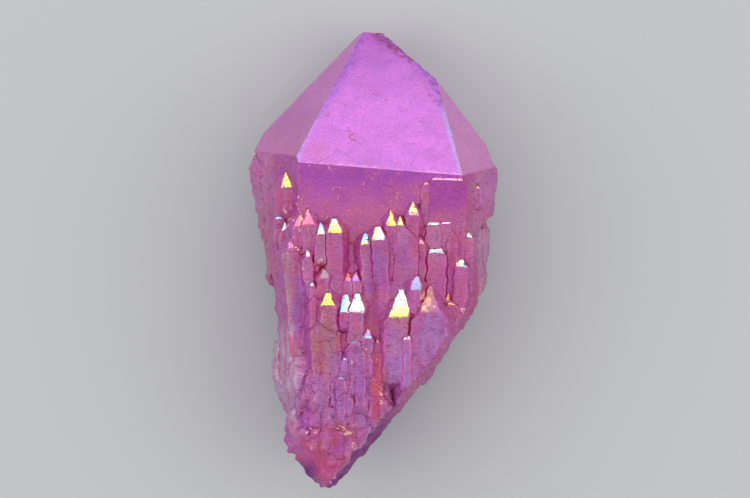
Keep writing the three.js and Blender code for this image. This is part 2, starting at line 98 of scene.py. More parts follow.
# The crystal: tip at +Y, root at -Y, front at +Z. Lengths are in mm unless a note says otherwise.
crystal = {
    "flatAngle": 0.4,           # degrees; faces closer than this are one facet
    "sharpAngle": 26,           # degrees; blunter edges are shaded smooth
    "weld": 0.002,              # points closer than this are one
    # how the facets are told apart, by areas in mm2
    "frostedArea": 300,
    "prismArea": 100,
    "pyramidArea": 60,
    "brightAreas": (0.2, 20),
    "tipReach": 1.2,            # how far a bright face may be from its place in the list
    # the fine mesh
    "edge": 0.4,                # longest edge where nothing below says otherwise
    "plainEdge": 0.7,           # on the front prism face, the side pyramid faces and the back
    "quickEdge": 0.9,           # anywhere in a quick trial
    "cuts": 14,                 # rounds of cutting at most
    "longShare": 0.6,           # each round cuts edges longer than this share of the longest
    "relax": 3,                 # rounds that even the triangles inside each facet
    "rootSoftening": 7,         # rounds of smoothing over the worn root
    "softeningTop": -12,        # the first of them works below this y
    "softeningStep": 2.5,       # and each of the others starts this much lower
    "untangling": 16,           # rounds of smoothing at most, where the relief crosses itself
    # recesses and edges
    "rays": 16,
    "rayStart": 0.05,           # above the surface
    "rayReach": 3.0,
    "seamBends": (8, 30),       # degrees of a hollow edge that starts to count, and that counts in full
    "ridgeBends": (8, 40),      # degrees, the same for a standing edge
    # relief, as the depth or height of each kind
    "edgeWear": 0.03,
    "chipDepth": 0.16,          # along the border of the broad tip face
    "seamDepth": 0.07,
    "striation": 0.05,
    "undulation": 0.06,
    "wander": 0.34,             # of the small crystals' edges
    "brightWander": 0.3,        # share of that on the bright faces
    "breakRelief": 0.27,
    "rootRelief": 0.27,
    "frostRelief": 0.075,
    "pyramidRelief": 0.04,
    "brightRelief": 0.006,
    "rimWidth": 0.55,           # of the blue rim of the broad tip face
    # where each change of shape or colour fades in along the crystal: from and to, as y
    "tipPurple": (33.5, 37.5), "tipDarker": (22, 37), "upperBorders": (20, 28), "tipChips": (24, 34),
    "crimsonChips": (31.5, 33.5), "violetChipsTop": (31.5, 30), "violetChipsFoot": (24, 26),
    "leftRim": (23, 17), "rightRim": (29, 22), "tipFlecks": (20, 15), "tipEtched": (20, 30),
    "prismFoot": (14, 7), "pyramidFoot": (28, 14), "plateFoot": (9.5, 6.5), "shoulders": (4, 12),
    "lowColumns": (-4, -20), "lilacColumns": (-9, -20), "lowEtched": (-6, -20), "bevelHighlight": (-10, -15),
    "slabTop": (-8, -13), "slabFoot": (-30, -26), "shadedUnderRight": (-21, -28), "shadedUnderLeft": (-32, -34),
    "highlightedRoot": (-24, -27), "lumps": (-25, -29), "lumpyRoot": (-26, -30), "brokenRoot": (-27, -31),
    "rosyRoot": (-30, -33),
    # the small tip faces, most of which mirror the light: place (x, y), colours in order, way of the
    # change in degrees (0 from the top down, 90 from left to right), and gloss
    "brightFaces": [
        (-13.8, 12.4, "pink yellow yellow", 90, 1), (12.0, 12.7, "pink palePink", 0, 1),
        (8.7, 12.1, "peach", 0, 1), (17.0, 11.7, "yellow peach", 0, 1),
        (6.5, 7.7, "yellow cream pink", 20, 1), (-15.0, 6.6, "ice lavender", 0, 1),
        (-10.2, 6.3, "peach pink pink", 0, 1), (2.9, 6.2, "pink yellow yellow", 90, 1),
        (-11.6, 6.2, "pink pink peach", 90, 1), (4.4, 5.8, "yellow cream", 0, 1),
        (11.8, 5.8, "palePink", 0, 1), (9.8, 5.6, "palePink white", 0, 1),
        (-6.0, 5.1, "ice cream yellow", 0, 1), (-13.9, 5.1, "cream ice lavender", 90, 1),
        (-8.0, 4.6, "palePurple ice cream", 10, 1), (1.0, 3.9, "yellow white ice", 80, 1),
        (15.4, 3.8, "lavender white", 90, 1), (-1.1, 3.1, "blue ice yellow", 0, 1),
        (7.8, 2.8, "peach pink", 0, 1), (-12.8, 2.2, "palePurple pink pink", 90, 1),
        (10.1, 1.2, "white lavender", 0, 1), (-10.2, 0.8, "cream palePink", 0, 1),
        (14.2, -0.7, "yellow ice", 90, 1), (-7.5, -2.4, "greyLilac greyPink", 0, 0.3),
        (-2.6, -2.9, "peach palePurple", 0, 0.9), (-3.8, -3.0, "orange orange pink", 0, 0.9),
        (7.0, -4.0, "lavender blueGrey", 0, 0.35), (-9.5, -4.0, "ice lavender", 0, 1),
        (12.2, -6.1, "peach orange", 0, 0.9), (12.6, -7.0, "peach", 0, 0.9),
        (-6.9, -6.3, "cream yellow yellow", 0, 1),
        (9.2, -6.9, "peachMauve brownMauve mauve mauve", 80, 0.2), (-2.4, -7.1, "ice white white", 0, 1),
        (-4.3, -7.1, "blue ice white", 80, 1), (4.5, -7.4, "ice white cream yellow", 10, 1),
        (-0.7, -12.0, "peach palePurple ice", 0, 1), (5.5, -12.4, "palePink", 0, 1),
        (-2.8, -12.9, "ice lavender", 0, 0.9), (0.8, -13.1, "peach", 0, 0.9),
        (-1.8, -14.4, "orange lavender", 0, 0.9), (-3.9, -15.9, "lavender ice", 0, 0.9),
        (-4.9, -18.8, "lavender", 0, 0.7),
    ],
    # the film along the borders of the broad tip face: the way the border looks, its colours at the foot
    # and at the top, and its width at each
    "borders": [
        ((-1, 0, 0), "rimLilac", "rimViolet", 0.7, 2.2), ((1, 0, 0), "rimBlue", "rimViolet", 0.7, 1.8),
        ((0, -1, 0), "rimPink", "rimPink", 0.4, 0.4),
    ],
    # pinker spots on the same face: middle (x, y), and how far out each starts and is full
    "pinkSpots": [(-8.6, 17.2, 2.6, 0.8), (-3.1, 19.6, 1.1, 0.4)],
    # how far from its right border the colour of the chips starts and is full
    "chipReach": (2.2, 0.6),
    # a plum-coloured bruise beside the right border, from the tip down
    "bruise": {"start": (0.3, 37.5), "end": (4.0, 35.0), "width": 0.75, "strength": 0.85},
    # the right border of the root, along which a pale highlight is painted: a place on it, its slope in x for
    # each mm of y, and how far off the painted highlight starts and is full
    "rootBorder": {"x": 1.2, "y": -26.7, "slope": 0.72, "reach": (1.7, 0.8)},
    # the flat growth step at the upper right: from and to in x and in y, and its least area
    "plate": {"x": (8, 15.5), "y": (6, 13.2), "area": 15},
    # where the film differs on the front: middle (x, y), half width, half height, colour, strength
    "patches": [
        (-11.6, -6.8, 1.2, 5.0, "violet", 0.8), (3.0, -1.0, 3.2, 4.5, "violet", 0.35),
        (0.0, -2.0, 1.2, 4.0, "violet", 0.5), (-7.6, -13.0, 2.6, 6.0, "orangeMauve", 0.9),
        (-14.4, -17.5, 2.8, 8.0, "greyLilac", 1.0), (-18.5, 3.0, 2.4, 9.0, "greyPink", 0.45),
        (-14.0, -4.0, 1.6, 7.0, "greyPink", 0.7), (-12.4, -25.2, 1.0, 4.6, "greyLilac", 0.8),
        (-3.4, -20.0, 3.6, 6.0, "violet", 0.4), (0.9, -19.5, 1.2, 6.5, "ribRed", 1.0),
        (4.6, -18.5, 2.6, 5.0, "lilac", 0.8), (10.5, -14.0, 3.4, 7.0, "lilac", 0.9),
        (9.5, -26.0, 3.0, 4.0, "rose", 0.6), (-6.0, -31.0, 6.0, 5.0, "rosyRoot", 0.9),
        (-10.6, -25.5, 1.6, 2.5, "purple", 0.6), (17.5, 2.0, 1.8, 8.0, "mauve", 0.6),
        (18.2, -2.0, 1.4, 9.0, "greyLilac", 0.4), (16.6, -6.0, 0.8, 6.0, "magenta", 0.6),
        (0.4, -6.0, 0.6, 5.0, "crimson", 0.5), (2.2, -20.5, 0.5, 5.0, "crimson", 0.5),
        (7.8, 0.5, 0.5, 4.0, "crimson", 0.25), (12.6, -0.6, 0.5, 2.4, "crimson", 0.4),
    ],
    # where tiny clean facets glint: middle (x, y), half width, half height, strength
    "glintAreas": [
        (8.5, -6.6, 0.8, 1.6, 1.6), (9.2, -7.6, 0.9, 0.5, 0.6), (14.4, -7.9, 0.6, 0.5, 0.4),
        (-5.4, -26.8, 1.1, 0.6, 0.2), (-3.9, -27.9, 0.6, 0.5, 0.9), (-2.7, -29.9, 0.6, 1.0, 0.35),
        (-9.9, -28.6, 1.2, 1.6, 0.08), (1.7, -22.0, 0.7, 1.6, 0.2), (2.5, -27.0, 2.0, 2.0, 0.1),
        (-12.5, 5.0, 2.5, 5.0, 0.07), (-9.0, -1.5, 2.4, 2.6, 0.1), (-1.2, -16.0, 2.2, 2.6, 0.04),
    ],
}

# Colours that the film shows. The under-violet also stands in for shade, and the rosy root colour for shade
# and a warm reflection.
film = {name: Vector(linear(colour)[:3]) for name, colour in {
    "deepViolet": "#6E3398", "shadedUnderViolet": "#78087A", "violet": "#985CB4", "purple": "#AE4AAE",
    "deepPurple": "#AC449E", "orchid": "#D077D8", "deepOrchid": "#B462C2", "lilac": "#AC72B6",
    "greyLilac": "#BCA2BA", "mauve": "#BC7098", "roseMauve": "#BC5C96", "rose": "#C44C8A",
    "magenta": "#C03A7C", "crimson": "#8E2650", "plum": "#86246C", "orangeMauve": "#B06A76",
    "ribRed": "#C24E74", "rosyRoot": "#C24A74", "matteMauve": "#C47ABC", "mattePink": "#C272AA",
    "palePyramid": "#DA92CC", "greyPink": "#AE8490", "pink": "#F87CB0", "palePink": "#F6CDE2",
    "peach": "#F8A888", "orange": "#F28C58", "yellow": "#F6DA74", "cream": "#F6ECA0", "white": "#E0EEDC",
    "ice": "#B2D6F4", "blue": "#74B4F0", "lavender": "#BFB4EE", "blueGrey": "#A4A4CC",
    "brownMauve": "#BC808A", "palePurple": "#A878E0", "rimViolet": "#9A5CCC", "rimBlue": "#AEB6F2",
    "rimLilac": "#C49AEC", "rimPink": "#F0A8E2", "pinkLilac": "#CC78B4", "goldMauve": "#C88A90",
    "peachMauve": "#D49488",
}.items()}


def readFacets(bm):
    # numbers the flat faces and notes what each one is
    layer = bm.faces.layers.int.new("facet")
    facets = []
    for number, face in enumerate(bm.faces):
        face[layer] = number
        facets.append({
            "normal": face.normal.copy(), "area": face.calc_area() / mm ** 2,
            "middle": face.calc_center_median() / mm, "corners": [v.co / mm for v in face.verts],
        })
    for facet in facets:
        facet["kind"] = kindOf(facet)
    return layer, facets


def kindOf(facet):
    n, area, middle = facet["normal"], facet["area"], facet["middle"]
    smallest, largest = crystal["brightAreas"]
    if area > crystal["frostedArea"] and n.y > 0.5 and n.z > 0.6:
        return "frosted"
    if area > crystal["prismArea"] and abs(n.y) < 0.05 and n.z > 0.9:
        return "prism"
    if smallest < area < largest and abs(n.x) < 0.25 and 0.4 < n.y < 0.7 and n.z > 0.5:
        nearest = min(crystal["brightFaces"], key=lambda face: math.dist(face[:2], middle[:2]))
        if math.dist(nearest[:2], middle[:2]) < crystal["tipReach"]:
            _, _, names, turn, facet["gloss"] = nearest
            facet["colours"] = [film[name] for name in names.split()]
            way = Vector((math.sin(math.radians(turn)), -math.cos(math.radians(turn)), 0))
            reaches = [corner.dot(way) for corner in facet["corners"]]
            facet["way"], facet["start"], facet["reach"] = way, min(reaches), max(reaches) - min(reaches)
            return "bright"
    if n.y > 0.3 and area > crystal["pyramidArea"]:
        return "pyramid"
    if n.y < -0.25:
        return "broken"
    return "grown"


def isPlain(facet):
    return facet["kind"] in ("prism", "pyramid") or facet["normal"].z < -0.2


def refine(bm, layer, facets):
    # cuts long edges until they are all short enough for the relief
    quickEdge = 0
    for _ in range(crystal["cuts"]):
        longest = max(e.calc_length() for e in bm.edges)
        tooLong = []
        for e in bm.edges:
            plain = all(isPlain(facets[f[layer]]) for f in e.link_faces)
            edge = max(crystal["plainEdge" if plain else "edge"], quickEdge) * mm
            if e.calc_length() > max(edge, crystal["longShare"] * longest):
                tooLong.append(e)
        if not tooLong:
            break
        bmesh.ops.subdivide_edges(bm, edges=tooLong, cuts=1)
        many = [f for f in bm.faces if len(f.verts) > 3]
        bmesh.ops.triangulate(bm, faces=many, quad_method="SHORT_EDGE", ngon_method="BEAUTY")


def smoothOut(bm, verts, times):
    for _ in range(times):
        bmesh.ops.smooth_vert(bm, verts=verts, factor=0.5, use_axis_x=True, use_axis_y=True, use_axis_z=True)


def relax(bm, layer, facets):
    # evens the triangles inside each facet, then wears down the steps of the root
    inner = [v for v in bm.verts if len({f[layer] for f in v.link_faces}) == 1]
    smoothOut(bm, inner, crystal["relax"])
    for step in range(crystal["rootSoftening"]):
        top = crystal["softeningTop"] - crystal["softeningStep"] * step
        worn = [
            v for v in bm.verts if v.co.y < top * mm and v.normal.z > 0
            and not any(facets[f[layer]]["kind"] == "bright" for f in v.link_faces)
        ]
        smoothOut(bm, worn, 1)


def shut(bm, tree):
    # how shut in each point is: 0 in the open, 1 deep in a gap; the paint uses it to put painted shade in the
    # recesses
    layer = bm.verts.layers.float.new("recess")
    rays, reach = crystal["rays"], crystal["rayReach"] * mm
    golden = math.pi * (3 - math.sqrt(5))
    spread = []
    for i in range(rays):
        up = math.sqrt((i + 0.5) / rays)
        out = math.sqrt(1 - up * up)
        spread.append(Vector((out * math.cos(golden * i), out * math.sin(golden * i), up)))
    for v in bm.verts:
        n = v.normal
        side = n.orthogonal().normalized()
        other = n.cross(side)
        start = v.co + n * crystal["rayStart"] * mm
        hits = (tree.ray_cast(start, side * d.x + other * d.y + n * d.z, reach)[3] for d in spread)
        v[layer] = sum(1 - hit / reach for hit in hits if hit is not None) / rays
    return layer


def markEdges(bm, layer):
    # 1 along every hollow edge in one layer and along every standing edge in the other
    seam = bm.verts.layers.float.new("seam")
    ridge = bm.verts.layers.float.new("ridge")
    for e in bm.edges:
        if len(e.link_faces) == 2 and e.link_faces[0][layer] != e.link_faces[1][layer]:
            bend = math.degrees(e.calc_face_angle_signed(0))
            for v in e.verts:
                v[seam] = max(v[seam], smoothStep(*crystal["seamBends"], -bend))
                v[ridge] = max(v[ridge], smoothStep(*crystal["ridgeBends"], bend))
    return seam, ridge


def reliefAt(p, kinds, seam, ridge):
    # how far a point moves outwards, in mm: growth lines, worn edges, chips and broken ground
    low = smoothStep(*crystal["lowColumns"], p.y)
    ragged = abs(wave(p, 1.1, (7, 3, 1)))
    move = -crystal["edgeWear"] * ridge * (0.4 + 1.2 * ragged)
    if "frosted" in kinds and ridge > 0.3:
        move -= crystal["chipDepth"] * max(0, ragged - 0.12) * (1 + 2 * smoothStep(*crystal["tipChips"], p.y))
    if "bright" in kinds:
        move += crystal["brightRelief"] * wave(p, 2.2)
    elif "frosted" in kinds:
        ripple = wave(p, (0.9, 0.5, 0.5), (2, 5, 3))
        move += crystal["frostRelief"] * (ripple + 0.4 * wave(p, 1.3))
    elif "pyramid" in kinds:
        move += crystal["pyramidRelief"] * wave(p, 0.6)
    else:
        move += crystal["striation"] * (0.6 + 0.8 * low) * wave(p, (0.55, 2.1, 0.55))
        move += crystal["undulation"] * (0.5 + low) * wave(p, 0.45)
    if "broken" in kinds or p.y < crystal["brokenRoot"][0]:
        amount = 1 if "broken" in kinds else smoothStep(*crystal["brokenRoot"], p.y)
        steps = noise.fractal(p * 0.55, 0.9, 2.1, 4) - 0.8 * abs(wave(p, 0.8, (1, 6, 2)))
        move += amount * crystal["breakRelief"] * steps
        move += crystal["rootRelief"] * smoothStep(*crystal["lumpyRoot"], p.y) * wave(p, 0.95)
    return move - crystal["seamDepth"] * seam * max(0, 0.5 + wave(p, 0.6))


def roughen(bm, layer, facets, seam, ridge):
    # the relief, then the small crystals' edges wander, and nothing leaves the box
    bm.normal_update()
    kindsOf = [{facets[f[layer]]["kind"] for f in v.link_faces} for v in bm.verts]
    moves = [
        reliefAt(v.co / mm, kinds, v[seam], v[ridge]) * mm for v, kinds in zip(bm.verts, kindsOf)
    ]
    for v, kinds, move in zip(bm.verts, kindsOf, moves):
        v.co += v.normal * move
        if not kinds & {"frosted", "prism", "pyramid"}:
            share = crystal["brightWander"] if "bright" in kinds else 1
            p = v.co / mm
            aside = wave(p, 0.75, (4, 4, 4)) + 0.5 * wave(p, 1.6)
            along = wave(p, 0.6, (9, 2, 6))
            v.co += Vector((aside, along, 0)) * share * crystal["wander"] * mm
        v.co = [min(high, max(low, c)) for c, low, high in zip(v.co, cadBox[0], cadBox[1])]


def untangle(bm):
    # smooths the few places where the relief has pushed the surface through itself
    for _ in range(crystal["untangling"]):
        bm.faces.ensure_lookup_table()
        tree = BVHTree.FromBMesh(bm)
        tangled = set()
        for first, second in tree.overlap(tree):
            corners, others = set(bm.faces[first].verts), set(bm.faces[second].verts)
            if not corners & others:
                tangled |= corners | others
        if not tangled:
            break
        smoothOut(bm, [v for v in bm.verts if v in tangled], 2)
    print("crystal:", len(tangled), "points of the mesh still tangled")


def distanceToBorder(p, facet, way=None):
    # to the nearest border of the facet, or of its borders that look one way
    corners = facet["corners"]
    nearest = math.inf
    for a, b in zip(corners, corners[1:] + corners[:1]):
        along = b - a
        outward = along.cross(facet["normal"]).normalized()
        if way is None or outward.dot(way) > 0.5:
            share = min(1, max(0, (p - a).dot(along) / along.length_squared))
            nearest = min(nearest, (p - a - along * share).length)
    return nearest


def bruiseShare(p):
    bruise = crystal["bruise"]
    start = Vector(bruise["start"])
    way = Vector(bruise["end"]) - start
    share = min(1, max(0, (p.xy - start).dot(way) / way.length_squared))
    away = (p.xy - start - way * share).length + 0.7 * wave(p, 1.6)
    broken = 0.4 + 0.6 * smoothStep(-0.2, 0.25, wave(p, 2.1, (3, 3, 7)))
    return bruise["strength"] * broken * smoothStep(bruise["width"], 0.15, away)


def tipFaceColour(p, facet):
    colour = film["orchid"].lerp(film["deepOrchid"], smoothStep(*crystal["tipDarker"], p.y))
    purple = smoothStep(*crystal["tipPurple"], p.y + 1.5 * wave(p, 0.8))
    colour = colour.lerp(film["purple"], 0.6 * purple)
    high = smoothStep(*crystal["upperBorders"], p.y)
    for way, foot, top, footWidth, topWidth in crystal["borders"]:
        width = footWidth + (topWidth - footWidth) * high
        near = smoothStep(width, 0, distanceToBorder(p, facet, Vector(way)) + 0.6 * wave(p, 1.1))
        colour = colour.lerp(film[foot].lerp(film[top], high), 0.6 * near)
    pink = sum(
        smoothStep(start, full, math.hypot(p.x - x, p.y - y)) for x, y, start, full in crystal["pinkSpots"]
    )
    rightEdge = smoothStep(*crystal["chipReach"], distanceToBorder(p, facet, Vector((1, 0, 0))))
    chips = smoothStep(0.0, 0.25, wave(p, 1.3, (0, 0, 5)))
    violet = smoothStep(*crystal["violetChipsTop"], p.y) * smoothStep(*crystal["violetChipsFoot"], p.y)
    for name, strength in [
        ("pinkLilac", 0.5 * min(1, pink)),
        ("plum", bruiseShare(p)),
        ("crimson", 0.75 * chips * rightEdge * smoothStep(*crystal["crimsonChips"], p.y)),
        ("deepViolet", 0.6 * chips * rightEdge * violet),
    ]:
        colour = colour.lerp(film[name], strength)
    return colour


def slabShare(p):
    # 1 on the pale slab at the lower left
    high = smoothStep(*crystal["slabTop"], p.y) * smoothStep(*crystal["slabFoot"], p.y)
    return smoothStep(-11, -13, p.x) * high


def grownColour(p, n, recess):
    # the columns, the sides, the back and the root
    colour = film["roseMauve"].lerp(film["mauve"], smoothStep(-0.3, 0.4, wave(p, 0.3)))
    low = smoothStep(*crystal["lilacColumns"], p.y + 4 * wave(p, 0.2))
    colour = colour.lerp(film["lilac"], 0.6 * low)
    if n.z > 0:
        for x, y, wide, high, name, strength in crystal["patches"]:
            away = math.hypot((p.x - x) / wide, (p.y - y) / high) + 0.25 * wave(p, 0.7)
            colour = colour.lerp(film[name], strength * smoothStep(1.25, 0.7, away))
    slab = slabShare(p)
    streaks = wave(p, (1.7, 0.16, 0.8))
    slabStreaks = wave(p, (1.5, 0.2, 1.5))
    steep = smoothStep(0.5, 0.1, n.z)
    sheen = wave(p, 0.22, (3, 9, 1))
    side = smoothStep(0.3, 0.75, abs(n.x)) * smoothStep(17, 14, abs(p.x)) * (1 - 0.7 * slab)
    shoulder = smoothStep(14.5, 18, abs(p.x)) * smoothStep(*crystal["shoulders"], p.y)
    lumps = smoothStep(*crystal["lumps"], p.y)
    # painted highlight: pale pink on the bevel between the front and the right flank, on faces turned right
    # and up
    bevelHighlight = smoothStep(0.2, 0.4, n.x) * smoothStep(0.3, 0.5, n.z) * smoothStep(*crystal["bevelHighlight"], p.y)
    # painted shade: the faces that turn down at the lower right and lower left ends are painted a dark
    # violet, partly the broken face's own colour and partly shade
    right = smoothStep(*crystal["shadedUnderRight"], p.y + 3 * wave(p, 0.35)) * smoothStep(0.3, 0.6, n.x)
    left = smoothStep(*crystal["shadedUnderLeft"], p.y) * smoothStep(-8, -10, p.x)
    for name, strength in [
        ("magenta", (0.45 - 0.3 * slab) * smoothStep(0.1, 0.45, streaks)),
        ("lilac", 0.35 * smoothStep(0.1, 0.45, -streaks)),
        ("lilac", 0.6 * steep * smoothStep(0.05, 0.35, sheen)),
        ("goldMauve", 0.7 * steep * smoothStep(0.1, 0.4, -sheen)),
        # painted shade: the columns' sides take purple where they face left and rose where they face right
        ("purple" if n.x < 0 else "rose", 0.55 * side),
        ("matteMauve", 0.5 * shoulder),
        # painted shade: recesses turn a deeper, darker magenta by how shut in they are
        ("magenta", (0.85 - 0.45 * low) * smoothStep(0.05, 0.35, recess)),
        ("magenta", 0.8 * slab * smoothStep(0.2, 0.35, slabStreaks)),
        ("pinkLilac", 0.7 * lumps * smoothStep(0, 0.35, wave(p, 0.75))),
        ("purple", 0.6 * lumps * smoothStep(0.05, 0.35, wave(p, 0.9, (5, 2, 8)))),
        # painted shade and a painted warm reflection: the up-facing lowest end of the root turns a darker
        # rosy red, partly its own colour
        ("rosyRoot", 0.6 * smoothStep(*crystal["rosyRoot"], p.y) * smoothStep(0.2, 0.5, n.z)),
        ("crimson", 0.35 * lumps * smoothStep(0.15, 0.4, wave(p, 1.9, (1, 8, 3)))),
        # painted highlight on that bevel
        ("pinkLilac", 0.6 * bevelHighlight),
        # painted shade: dark violet on the down-turned ends, partly the broken face's own colour
        ("shadedUnderViolet", 0.92 * smoothStep(-0.15, -0.5, n.y) * max(right, left)),
        ("deepViolet", (0.65 + 0.2 * sheen) * smoothStep(0.05, 0.6, -n.z)),
    ]:
        colour = colour.lerp(film[name], strength)
    return colour


def coatColour(p, facet, recess):
    kind, n = facet["kind"], facet["normal"]
    if kind == "bright":
        share = (p.dot(facet["way"]) - facet["start"]) / facet["reach"] * (len(facet["colours"]) - 1)
        first = max(0, min(len(facet["colours"]) - 2, int(share)))
        if len(facet["colours"]) == 1:
            return facet["colours"][0]
        return facet["colours"][first].lerp(facet["colours"][first + 1], max(0, min(1, share - first)))
    if kind == "frosted":
        return tipFaceColour(p, facet)
    if kind == "prism":
        down = smoothStep(*crystal["prismFoot"], p.y + 2.5 * wave(p, 0.35))
        return film["purple"].lerp(film["roseMauve"], down)
    if kind == "pyramid":
        down = smoothStep(*crystal["pyramidFoot"], p.y + 3 * wave(p, 0.15))
        colour = film["matteMauve"].lerp(film["mattePink"], down)
        return colour.lerp(film["palePyramid"], 0.5 * smoothStep(0, 8, p.x))
    plate = crystal["plate"]
    (left, right), (foot, top) = plate["x"], plate["y"]
    if left < p.x < right and foot < p.y < top and n.z > 0.9 and facet["area"] > plate["area"]:
        return film["deepPurple"].lerp(film["roseMauve"], smoothStep(*crystal["plateFoot"], p.y))
    return grownColour(p, n, recess)


def glintShare(p, n):
    if n.z <= 0.3:
        return 0
    return max(
        strength * smoothStep(1.2, 0.8, math.hypot((p.x - x) / wide, (p.y - y) / high))
        for x, y, wide, high, strength in crystal["glintAreas"]
    )


def edgeHighlightShare(p, n, ridge):
    # painted highlight: pale pink on the standing edges of the root, most of all along its right border
    border = crystal["rootBorder"]
    off = abs(p.x - border["x"] - border["slope"] * (p.y - border["y"]))
    share = ridge * smoothStep(*crystal["highlightedRoot"], p.y) * smoothStep(0, 0.3, n.z)
    return share * (0.04 + 0.45 * smoothStep(*border["reach"], off))


def paint(bm, layer, facets, recess, ridge):
    # writes the film's colour and the share of each finish at every corner
    coat = bm.loops.layers.float_color.new("coat")
    gloss, frost, rim, etched, flecks, glints, inside = (
        bm.loops.layers.float.new(name)
        for name in ("gloss", "frost", "rim", "etched", "flecks", "glints", "inside")
    )
    for face in bm.faces:
        facet = facets[face[layer]]
        kind, n = facet["kind"], facet["normal"]
        for loop in face.loops:
            p = loop.vert.co / mm
            # painted highlight: pale pink along the root's standing edges, most of all its right border
            worn = edgeHighlightShare(p, n, loop.vert[ridge])
            loop[coat] = coatColour(p, facet, loop.vert[recess]).lerp(film["palePink"], worn).to_4d()
            loop[gloss] = facet.get("gloss", 0)
            loop[inside] = distanceToBorder(p, facet) if kind == "bright" else 1
            loop[frost] = 1 if kind == "frosted" else 0
            # the share of painted sparkle flecks: full on the front prism face
            loop[flecks] = 1 if kind == "prism" else 0.3
            loop[glints] = glintShare(p, n)
            if kind == "frosted":
                left, right = (
                    distanceToBorder(p, facet, Vector(border[0])) for border in crystal["borders"][:2]
                )
                nearLeft, nearRight = (smoothStep(crystal["rimWidth"], 0, away) for away in (left, right))
                loop[rim] = max(
                    0.6 * nearLeft * smoothStep(*crystal["leftRim"], p.y),
                    nearRight * smoothStep(*crystal["rightRim"], p.y),
                )
                loop[flecks] = 0.2 + 0.8 * smoothStep(*crystal["tipFlecks"], p.y) * smoothStep(-2, -8, p.x)
                border = smoothStep(3, 0.5, min(left, right))
                loop[etched] = 0.12 + 0.7 * border * smoothStep(*crystal["tipEtched"], p.y)
            if kind in ("grown", "broken", "prism"):
                amount = 0.65 + 0.35 * smoothStep(*crystal["lowEtched"], p.y)
                amount *= 1 - 0.6 * smoothStep(*crystal["lumps"], p.y)
                loop[etched] = amount * (0.4 if kind == "prism" else 1 - 0.75 * slabShare(p))


def buildCrystal():
    bm = bmesh.new()
    bm.from_mesh(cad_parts["quartz_crystal"].data)
    bmesh.ops.remove_doubles(bm, verts=bm.verts, dist=crystal["weld"] * mm)
    bmesh.ops.dissolve_limit(
        bm, angle_limit=math.radians(crystal["flatAngle"]), verts=bm.verts, edges=bm.edges
    )
    layer, facets = readFacets(bm)
    print("crystal:", len(facets), "facets,", sum(f["kind"] == "bright" for f in facets), "of them bright")
    bmesh.ops.triangulate(bm, faces=bm.faces, quad_method="BEAUTY", ngon_method="BEAUTY")
    tree = BVHTree.FromBMesh(bm)
    refine(bm, layer, facets)
    bm.normal_update()
    seam, ridge = markEdges(bm, layer)
    relax(bm, layer, facets)
    bm.normal_update()
    print("crystal: fine mesh of", len(bm.faces), "triangles")
    recess = shut(bm, tree)
    print("crystal: recesses and edges marked")
    roughen(bm, layer, facets, seam, ridge)
    untangle(bm)
    paint(bm, layer, facets, recess, ridge)
    mesh = bpy.data.meshes.new("auraQuartz")
    bm.to_mesh(mesh)
    bm.free()
    mesh.shade_smooth()
    mesh.set_sharp_from_angle(angle=math.radians(crystal["sharpAngle"]))
    piece = bpy.data.objects.new("auraQuartz", mesh)
    bpy.context.scene.collection.objects.link(piece)
    print("crystal: surface roughened and painted")
    return piece


# The coated quartz. Sizes are in mm.
coating = {
    "ragSize": 0.9,
    "driftSize": 2.4,
    "cloudSize": 5,
    "grainSize": 0.36,
    "frostGrainSize": 0.26,     # the same grain on the frosted face
    "seamNoiseSize": 1.1,
    "bendSize": 1.6,
    "bend": 1.2,                # how far the bent patterns are pulled aside at most
    "blockSize": (1.2, 3.4, 2.0),
    "etchSize": (1.1, 0.17, 1.1),
    "hairSize": 3.4,
    "markPlace": (-3.05, 19.7, 20.9),
    "markRadius": 0.62,
    "markLine": 0.13,           # half its width
    "markSide": (-2.6, -3.0),   # x where the mark starts, and where it is strongest
    "markStrength": 0.8,
    "fleckSize": 0.34,
    "speckSize": 0.42,
    "glintSize": 0.34,
    "glintStrength": 0.85,
    "pitSize": 0.3,
    "pitDepth": 0.06,
    "cleanEdge": 0.1,           # over which a clean face becomes clean
    "seamWander": 0.5,          # how much grain changes the seam's share, from end to end
    "seamMost": 0.95,           # how strong a seam is at most
    "noiseSpan": (0.3, 0.7),    # of drift and grain, from the lowest hue and value to the highest
    "ior": 1.54,                # quartz
    # how a noise, a distance or a share is read: from and to, and what it becomes at each
    "ranges": {
        "rag": (0.35, 0.65, -0.28, 0.13),
        "hueLow": (0, 1, 0.474, 0.492), "hueHigh": (0, 1, 0.526, 0.508),
        "fineLow": (0, 1, 0.85, 0.78), "fineHigh": (0, 1, 1.15, 1.22),
        "slowValue": (0.3, 0.7, 0.9, 1.1), "grainRough": (0.3, 0.7, -0.08, 0.1),
        "seamStart": (0.4, 0.6, 0.9, 0.45),
        "crack": (0.05, 0, 0, 1), "crackPart": (0.45, 0.62, 0, 1), "etchLine": (0.56, 0.68, 0, 0.9),
        "hair": (0.035, 0, 0, 0.55), "hairPart": (0.5, 0.6, 0, 1),
        "clusters": (0.42, 0.62, 0, 1), "fleck": (0.58, 0.68, 0, 0.8),
        "rimPart": (0.42, 0.6, 0, 0.8), "speck": (0.585, 0.64, 0, 0.8), "glintPart": (0.44, 0.56, 0, 1),
        "pitDeep": (0, 1, 0.3, 0.8), "pitShare": (0, 1, 1, 0.12),
        "evenRough": (0, 1, 0.42, 0.12), "metal": (0, 1, 0.35, 0.95),
    },
    # colours laid over the film
    "ragged": "#B2568E", "seam": "#7C1A44", "crack": "#942C5C", "etchLine": "#7E3478",
    "hairline": "#A04890", "mark": "#B04A80", "fleck": "#E29098", "rim": "#BCCCF8", "speck": "#6A5468",
    "glint": "#F09488", "paleGlint": "#FCDCC8",
}


